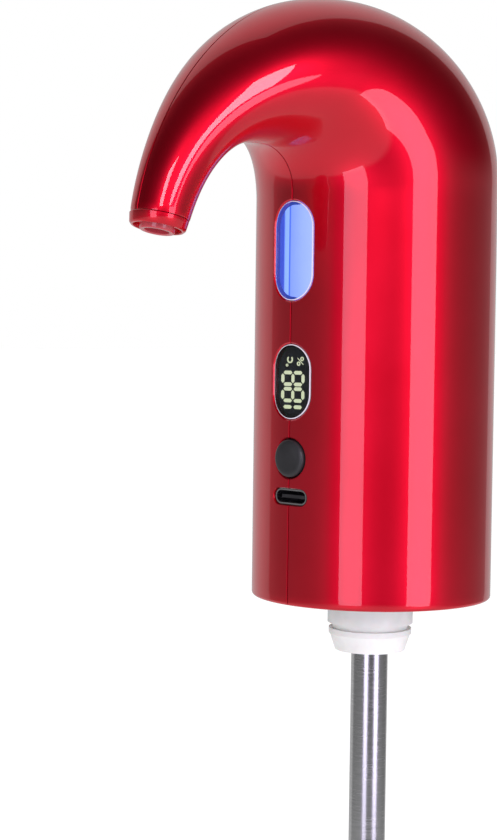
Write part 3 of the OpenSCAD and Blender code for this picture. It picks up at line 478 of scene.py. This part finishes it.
button_hole = 2 * (BUTTON_R + BUTTON_GAP)
port_chamfer = 0.4
cutters = [
    opening(lambda off: stadium(WINDOW[0], WINDOW[1], off), WINDOW[2]),
    opening(lambda off: stadium(DISPLAY[0], DISPLAY[1], off), DISPLAY[2]),
    opening(lambda off: stadium(button_hole, button_hole, off), BUTTON_Z),
    opening(lambda off: stadium(PORT[1], PORT[0], off * port_chamfer, lying=True), PORT[2]),
]
for side, node in ((-1, "left_shell"), (1, "right_shell")):
    shell = add_mesh(node + "_skin", *shell_points(side), RED, "housing", [node], "red_gloss")
    carve(shell, cutters)

# Spout: collar ring and nozzle, as profiles of (radius, height) from the mouth

collar_r, collar_bore = TIP_R + COLLAR_STEP, TIP_R - 0.78
ring = [(3.65, -5.2), (4.2, -5.2), (4.2, -COLLAR), (collar_r - 0.1, -COLLAR),
        (collar_r, -COLLAR + 0.12), (TIP_R, -EDGE), (TIP_R - EDGE, 0), (TIP_R - 2 * EDGE, 0),
        (collar_bore, -0.12), (collar_bore, -1.2), (3.65, -1.2)]
add_mesh("spout_collar", *lathe(ring, at_tip()), RED, "housing", ["spout_ring"], "red_gloss", 40)
nozzle = [(1.7, -9.0), (2.5, -9.0), (2.5, -6.2), (4.2, -6.2), (4.2, -5.3), (3.5, -5.3), (3.5, 0.35),
          (3.3, 0.66), (2.8, 0.7), (2.45, 0.5), (2.4, -2.2), (1.7, -2.2)]
add_mesh("spout_nozzle", *lathe(nozzle, at_tip()), NOZZLE, "housing", ["outlet_nozzle"],
         "nozzle_red", 40)

# Window and display lenses, which follow the body's round front


def lens(name, w, l, z, material, node, slot_name, back_rows=6, face_rows=10):
    """A curved stadium-shaped pane with a rounded rim, which is coloured pale as a painted
    highlight along its edge.
    """
    gap, bevel = 0.1, 0.32
    rows = []
    for k in range(back_rows + 1):
        share = k / back_rows
        rows.append((LENS_BACK, -w / 2 * (1 - share) - gap * share))
    rows.append((LENS_FACE - 0.22, -gap))
    rows.append((LENS_FACE - 0.06, -0.16))
    rows.append((LENS_FACE, -bevel))
    for k in range(1, face_rows + 1):
        rows.append((LENS_FACE, -bevel - (w / 2 - bevel) * k / face_rows))
    loops = [on_cylinder(stadium(w, l, off), z, r) for r, off in rows]
    points, faces = loft(loops, closed_ends=False)
    pane = add_mesh(name, points, faces, material, "housing", [node], slot_name, 40)
    # The rim's faces carry the pale painted highlight
    pane.data.materials.append(RIM_PAINTED_HIGHLIGHT)
    n = len(loops[0])
    first = back_rows + 1
    for face in list(pane.data.polygons)[first * n:(first + 2) * n]:
        face.material_index = 1


lens("window_pane", *WINDOW, CLEAR_PAINTED_GLOW, "window_lens", "window_clear")
lens("display_pane", *DISPLAY, SMOKE, "display_lens", "smoked_clear")

# Digits and signs of the display, which read from its bottom to its top

face_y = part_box("display_module")[0].y / MM
mid_z = DISPLAY[2]
HALF, STEP, THICK, LEFT = 1.42, 1.22, 0.76, -0.4
GLYPH_T = 0.12
glyph_points, glyph_faces = [], []


def add_flat(shape):
    """Lays a flat closed shape of (x, height from the display's middle) on the display's face."""
    n, s = len(glyph_points), len(shape)
    for dy in (0, -GLYPH_T):
        glyph_points.extend((x, face_y + dy, mid_z + z) for x, z in shape)
    glyph_faces.append(tuple(range(n, n + s)))
    glyph_faces.append(tuple(range(n + s, n + 2 * s))[::-1])
    for i in range(s):
        j = (i + 1) % s
        glyph_faces.append((n + i, n + s + i, n + s + j, n + j))


def bar(x, z, length, across=False):
    """A six-cornered segment of a digit, along the display's height unless it lies across."""
    a, b = length / 2, THICK / 2
    shape = [(-a, 0), (-a + b, -b), (a - b, -b), (a, 0), (a - b, b), (-a + b, b)]
    if not across:
        shape = [(-q, p) for p, q in shape]
    add_flat([(x + LEFT + p, z + q) for p, q in shape])


def arc(x, z, r, t, a0=0, a1=360, n=14):
    """A ring of radius r and breadth t, or a part of one between two angles in degrees."""
    angles = [math.radians(a0 + (a1 - a0) * k / n) for k in range(n + 1)]
    for p, q in zip(angles, angles[1:]):
        add_flat([(x + rr * math.cos(a), z + rr * math.sin(a))
                  for rr, a in ((r - t, p), (r, p), (r, q), (r - t, q))])


long_bar, cross_bar = 2 * STEP - 0.5, 2 * HALF - 0.55
for digit_z in (0.65, -2.75):
    for x in (-2 * HALF, 0, 2 * HALF):
        bar(x, digit_z, long_bar)
    for x in (-HALF, HALF):
        for dz in (-STEP, STEP):
            bar(x, digit_z + dz, cross_bar, across=True)
for x in (-HALF, HALF):
    bar(x, -5.3, cross_bar, across=True)
# the signs for degrees and for per cent
arc(-2.1, 3.4, 0.30, 0.13)
arc(-1.3, 4.6, 0.78, 0.28, -225, 45)
arc(1.15, 3.75, 0.45, 0.2)
arc(2.1, 4.75, 0.45, 0.2)
add_flat([(0.8, 5.0), (0.95, 4.75), (2.5, 3.5), (2.35, 3.75)])
add_mesh("display_glyphs", glyph_points, glyph_faces, DIGITS, "housing", ["display_segments"],
         "lit_digits")

# Button, with a slightly crowned face, as a profile of (radius, distance from the body's axis)

stem_end = -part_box("power_button")[1].y / MM
cap = [(0, stem_end), (1.6, stem_end), (1.6, 22.1), (5.0, 22.1), (5.0, 22.9), (BUTTON_R, 22.9),
       (BUTTON_R, 25.85), (3.91, 26.1), (3.8, 26.28), (3.55, 26.46), (3.2, 26.56), (2.6, 26.59),
       (0, 26.6)]
add_mesh("button_cap", *lathe(cap, to_front(BUTTON_Z)), BLACK, "button",
         ["power_button"], "black_matte", 40)

# Floor, backdrop light, lamps and camera, in metres

CAMERA_SIDE = 41.76


def around(angle, distance, z):
    """A place round the body, by its angle to the right of the camera's side in degrees."""
    a = math.radians(CAMERA_SIDE + angle)
    return Vector((math.sin(a) * distance, -math.cos(a) * distance, z))


drawn_out, floor_gap, side = 0.150, 0.0005, 30.0
low_z = cad_low.z - drawn_out - floor_gap
corners = [(-side, -side, low_z), (side, -side, low_z), (side, side, low_z), (-side, side, low_z)]
floor = new_object("floor", corners, [(0, 1, 2, 3)], unit=1)
ground = Paint("floor_white", Roughness=0.9, Emission_Strength=0.30)
low, high = (0.78, 0.78, 0.78), (0.80, 0.80, 0.80)
ground.ramp(ground.noise(3, 2), [(0.3, low), (0.7, high)], "Base Color")
ground.shader.inputs["Emission Color"].default_value = WHITE
floor.data.materials.append(ground.material)
floor.visible_glossy = False
floor.visible_shadow = False
floor.visible_transmission = False
floor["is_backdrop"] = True

world = bpy.data.worlds.new("studio")
bpy.context.scene.world = world
world.use_nodes = True
tree = world.node_tree
nodes, links = tree.nodes, tree.links
background = nodes["Background"]
coords = nodes.new("ShaderNodeTexCoord")
split = nodes.new("ShaderNodeSeparateXYZ")
links.new(coords.outputs["Generated"], split.inputs["Vector"])


def math_node(kind, *values):
    made = nodes.new("ShaderNodeMath")
    made.operation = kind
    for value, into in zip(values, made.inputs):
        if isinstance(value, (int, float)):
            into.default_value = value
        else:
            links.new(value, into)
    return made.outputs[0]


def times(a, b):
    return math_node("MULTIPLY", a, b)


def plus(a, b):
    return math_node("ADD", a, b)


def most(a, b):
    return math_node("MAXIMUM", a, b)


def rest_of(a):
    return math_node("SUBTRACT", 1.0, a)


def step(value, low, high):
    made = nodes.new("ShaderNodeMapRange")
    made.interpolation_type = "SMOOTHSTEP"
    made.inputs["From Min"].default_value = low
    made.inputs["From Max"].default_value = high
    links.new(value, made.inputs["Value"])
    return made.outputs["Result"]


def share_along(direction):
    """How far the looked-at direction goes along a level one."""
    return plus(times(split.outputs["X"], direction.x), times(split.outputs["Y"], direction.y))


# What the shiny pieces reflect: a bright wall behind, a pale ground, dim sides, dark elsewhere
BEHIND, BELOW, ASIDE, DARK = 0.52, 0.60, 0.17, 0.010
level = math_node("SQRT", plus(times(split.outputs["X"], split.outputs["X"]),
                               times(split.outputs["Y"], split.outputs["Y"])))
toward = math_node("DIVIDE", share_along(around(193, 1, 0)), most(level, 0.001))
behind = step(toward, 0.575, 0.625)
below = step(times(split.outputs["Z"], -1.0), 0.24, 0.34)
aside = times(rest_of(step(share_along(around(13, 1, 0)), 0.50, 0.68)),
              rest_of(step(split.outputs["Z"], 0.04, 0.22)))
glossy = plus(DARK, most(times(behind, BEHIND), most(times(below, BELOW), times(aside, ASIDE))))
# Seen directly or by diffuse rays, the surround is plain white
rays = nodes.new("ShaderNodeLightPath")
plain = most(rays.outputs["Is Camera Ray"], rays.outputs["Is Diffuse Ray"])
links.new(plus(plain, times(rest_of(plain), glossy)), background.inputs["Strength"])
background.inputs["Color"].default_value = WHITE
world.cycles.sampling_method = "NONE"


def lamp(name, angle, distance, width, z0, z1, radiance, colour):
    """An upright panel that faces the body's axis, between two heights."""
    data = bpy.data.lights.new(name, "AREA")
    data.shape = "RECTANGLE"
    data.size, data.size_y = width, z1 - z0
    data.energy = radiance * math.pi * width * (z1 - z0)
    data.color = colour
    obj = bpy.data.objects.new(name, data)
    bpy.context.scene.collection.objects.link(obj)
    obj.location = around(angle, distance, (z0 + z1) / 2)
    aim = Vector((0, 0, (z0 + z1) / 2)) - obj.location
    obj.rotation_euler = aim.to_track_quat("-Z", "Y").to_euler()
    obj.visible_camera = False


BODY_LIGHT, NECK_LIGHT = (1.0, 0.92, 1.2), (1.0, 0.90, 1.05)
lamp("strip_left", -19, 1.4, 0.54, -0.42, 0.20, 2.6, BODY_LIGHT)
lamp("strip_right", 46, 1.4, 0.60, -0.42, 0.21, 2.9, BODY_LIGHT)
lamp("neck_left", 4, 1.2, 0.22, 0.26, 0.70, 9.0, NECK_LIGHT)
lamp("neck_right", 40, 1.2, 0.32, 0.26, 0.80, 8.5, NECK_LIGHT)

camera_data = bpy.data.cameras.new("camera")
camera_data.sensor_width = 36
camera_data.lens = 76.6286
camera_data.clip_start, camera_data.clip_end = 0.01, 100
camera = bpy.data.objects.new("camera", camera_data)
bpy.context.scene.collection.objects.link(camera)
spot = around(0, 0.390, 0.056)
yaw, pitch, roll = math.radians(3.99), math.radians(2.68), math.radians(0.7)
ahead = Vector((-spot.x, -spot.y, 0)).normalized()
ahead = Matrix.Rotation(yaw, 3, "Z") @ ahead
right = ahead.cross(Vector((0, 0, 1)))
look = (ahead * math.cos(pitch) - Vector((0, 0, 1)) * math.sin(pitch)).normalized()
up = right.cross(look)
turn = Matrix.Rotation(-roll, 3, look)
right, up = turn @ right, turn @ up
pose = Matrix((right, up, -look)).transposed().to_4x4()
pose.translation = spot
camera.matrix_world = pose
bpy.context.scene.camera = camera
bpy.context.scene.view_settings.view_transform = "Standard"

low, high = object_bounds()
